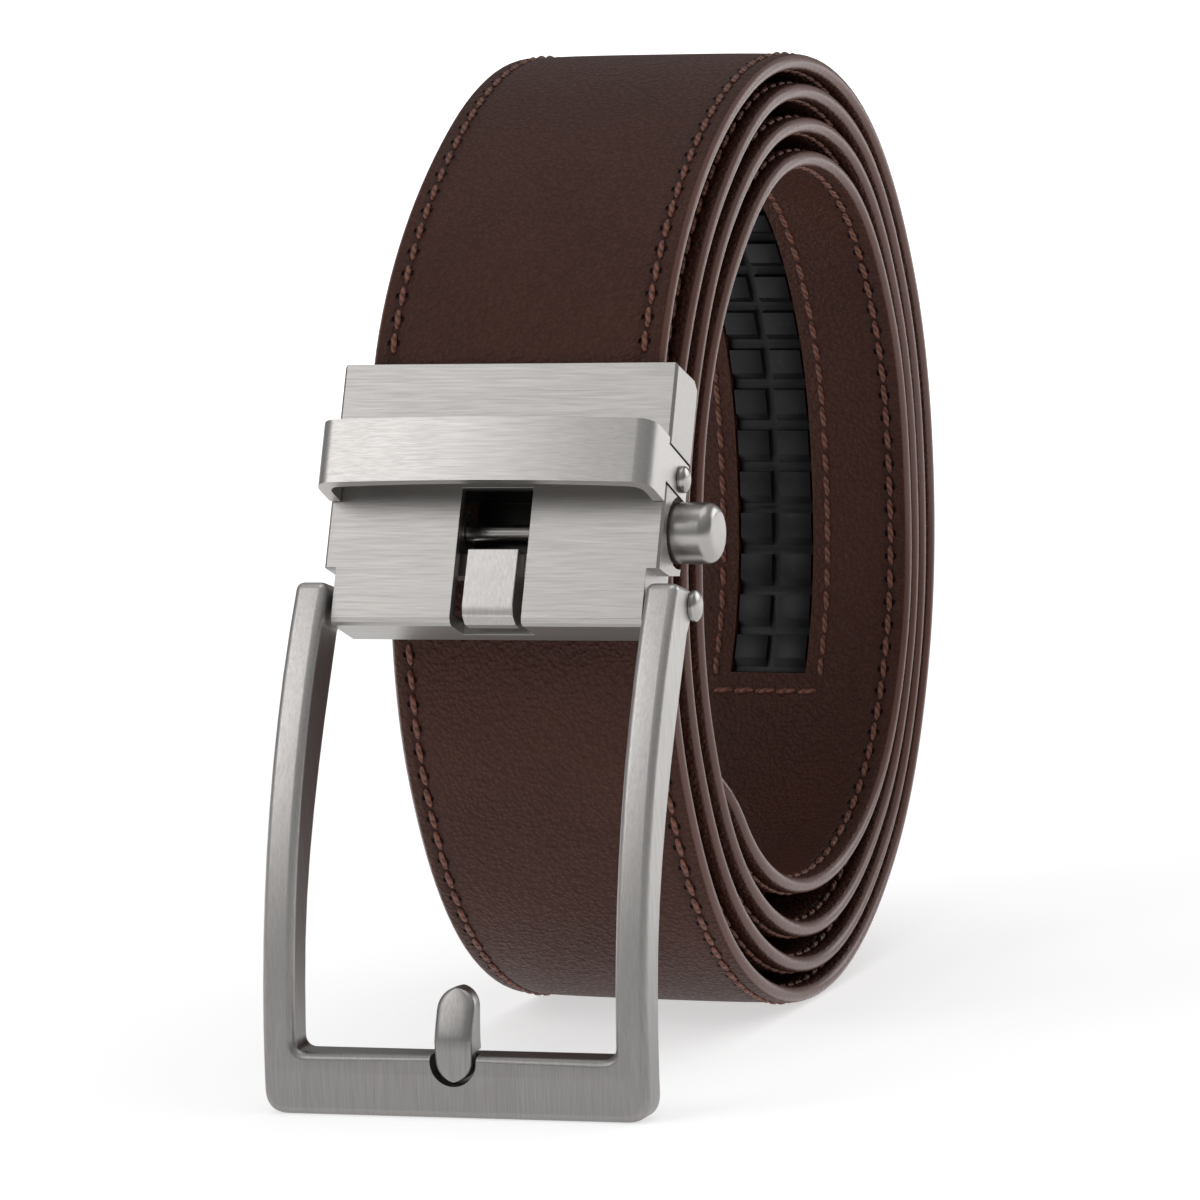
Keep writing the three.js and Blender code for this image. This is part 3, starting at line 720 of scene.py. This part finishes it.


# The frame's plating is painted darker towards the crossbar: painted shade.
brushed_frame = brushed(
    "nickel_brushed_frame", (9.0, 4.0, 0.2), FRAME_NICKEL, 0.32, painted_shade=painted_crossbar_shade)
prong_low, prong_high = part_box("prong")
hinge_low, hinge_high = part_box("frame_rivet_right")
hinge_at = (hinge_low + hinge_high) / 2
notch_at = (prong_low.x + prong_high.x) / 2


def in_hole_or_notch(edge):
    """Whether an edge belongs to a rivet's hole or to the prong's notch, which stay crisp."""
    at_hinge = all(
        math.hypot(v.co.y - hinge_at.y, v.co.z - hinge_at.z) < HOLE_REACH * MM for v in edge.verts)
    at_notch = all(
        abs(v.co.x - notch_at) < NOTCH_REACH * MM and v.co.z < BAR_TOP * MM for v in edge.verts)
    return at_hinge or at_notch


bowed_frame = even_flats(finished(
    "bowed_frame", softened("frame", 0.9, segments=4, kept=in_hole_or_notch),
    brushed_frame, sharp=50))
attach(bowed_frame, "frame")
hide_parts("frame")

# Prong
# A short peg with a soft round front, fixed in the crossbar's notch. Above the bar it leans back
# and gets thinner towards its tip.
PRONG_SEAT = BAR_TOP
PRONG_SEAT_STEP = 0.02
PRONG_TAIL = 2.2
PRONG_STRAIGHT = 8.5
PRONG_LEAN = 2.4
PRONG_ROUND = 1.0
PRONG_SIDES = 32
PRONG_BENDS = (9.3, 10.2, 11.1)
PRONG_CURVE = 1.25
PRONG_SQUARENESS = 0.55

low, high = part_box("prong")
low, high = low / MM, high / MM
radius = (high.x - low.x) / 2
heights = [low.z + radius * (1 - math.cos(math.pi / 2 * k / 8)) for k in range(9)]
heights += [
    PRONG_SEAT - PRONG_SEAT_STEP, PRONG_SEAT + PRONG_SEAT_STEP, PRONG_STRAIGHT, *PRONG_BENDS]
heights += [high.z - radius * (1 - math.sin(math.pi / 2 * k / 10)) for k in range(11)]
heights.sort()
prong_mesh = bmesh.new()
bmesh.ops.create_grid(prong_mesh, x_segments=PRONG_SIDES, y_segments=len(heights) - 1, size=1)
prong_mesh.verts.ensure_lookup_table()
for number, vert in enumerate(prong_mesh.verts):
    height = heights[number // (PRONG_SIDES + 1)]
    turned = 2 * math.pi * (number % (PRONG_SIDES + 1)) / PRONG_SIDES
    rise = max(low.z + radius - height, height - high.z + radius, 0)
    half_width = max(radius ** 2 - rise ** 2, 0) ** 0.5
    leant = max((height - PRONG_STRAIGHT) / (high.z - PRONG_STRAIGHT), 0)
    lean = PRONG_LEAN * leant ** PRONG_CURVE
    back = high.y if height > PRONG_SEAT else low.y + PRONG_TAIL
    front = low.y + lean
    x, y = (
        math.copysign(abs(c) ** PRONG_SQUARENESS, c) for c in (math.cos(turned), math.sin(turned)))
    depth = PRONG_ROUND * (1 + y) if y < 0 else PRONG_ROUND + (back - front - PRONG_ROUND) * y
    vert.co = Vector(((low.x + high.x) / 2 + half_width * x, front + depth, height)) * MM
bmesh.ops.remove_doubles(prong_mesh, verts=prong_mesh.verts, dist=1e-6)
ends = [edge for edge in prong_mesh.edges if edge.is_boundary]
bmesh.ops.holes_fill(prong_mesh, edges=ends, sides=0)
bmesh.ops.recalc_face_normals(prong_mesh, faces=prong_mesh.faces)
prong = finished("fixed_prong", prong_mesh, brushed_frame, sharp=60)
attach(prong, "frame")
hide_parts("prong")

# Floor and lights
# A pale seamless floor, with a large soft light from the front left, a strong one along the right
# side and an even sky.
FLOOR_HALF = 6.0

paper, start, shader = material_of("pale_floor", {
    "Base Color": (0.7, 0.7, 0.7, 1), "Roughness": 0.9, "Specular IOR Level": 0.0,
    "Emission Strength": 1.0})
place = start.node("TexCoord", output="Object")
away = place.node("VectorMath", {"operation": "LENGTH"}, {0: place}, output=1)
# The floor glows to stay white, a painted light, and glows less near the belt: painted shade round
# it.
glow = away.step(0.1, 0.7) * 0.42 + 0.58
feed(shader, {"Emission Color": glow})
ground = bmesh.new()
bmesh.ops.create_grid(ground, x_segments=1, y_segments=1, size=FLOOR_HALF)
floor = finished("floor", ground, paper)

sky = bpy.data.worlds.new("even_sky")
bpy.context.scene.world = sky
sky.use_nodes = True
view_way = Socket(sky.node_tree).node("TexCoord")
rise = view_way.node("SeparateXYZ", values={0: view_way}, output=2)
glow = rise.node("ValToRGB", {"stops": ((0.0, 0.13), (0.3, 0.25), (1.0, 0.55))}, {0: rise})
sky.node_tree.links.new(glow.socket, sky.node_tree.nodes["Background"].inputs["Color"])
bpy.context.scene.view_settings.view_transform = "Standard"


def soft_light(name, place, size, radiance):
    """A rectangular soft light that points at the belt, as bright as a white card at radiance 1."""
    data = bpy.data.lights.new(name, "AREA")
    data.shape = "RECTANGLE"
    data.size, data.size_y = size
    data.energy = radiance * math.pi * size[0] * size[1]
    lamp = bpy.data.objects.new(name, data)
    lamp.location = place
    lamp.rotation_mode = "QUATERNION"
    lamp.rotation_quaternion = (Vector((0, 0, 0.05)) - Vector(place)).to_track_quat("-Z", "Y")
    bpy.context.scene.collection.objects.link(lamp)


soft_light("front_light", (-0.42, -0.52, 0.46), (0.42, 0.42), 1.9)
soft_light("side_light", (0.65, 0.85, 0.36), (0.6, 0.5), 2.5)
soft_light("top_light", (0.1, 0.1, 2.0), (1.4, 1.4), 1.0)
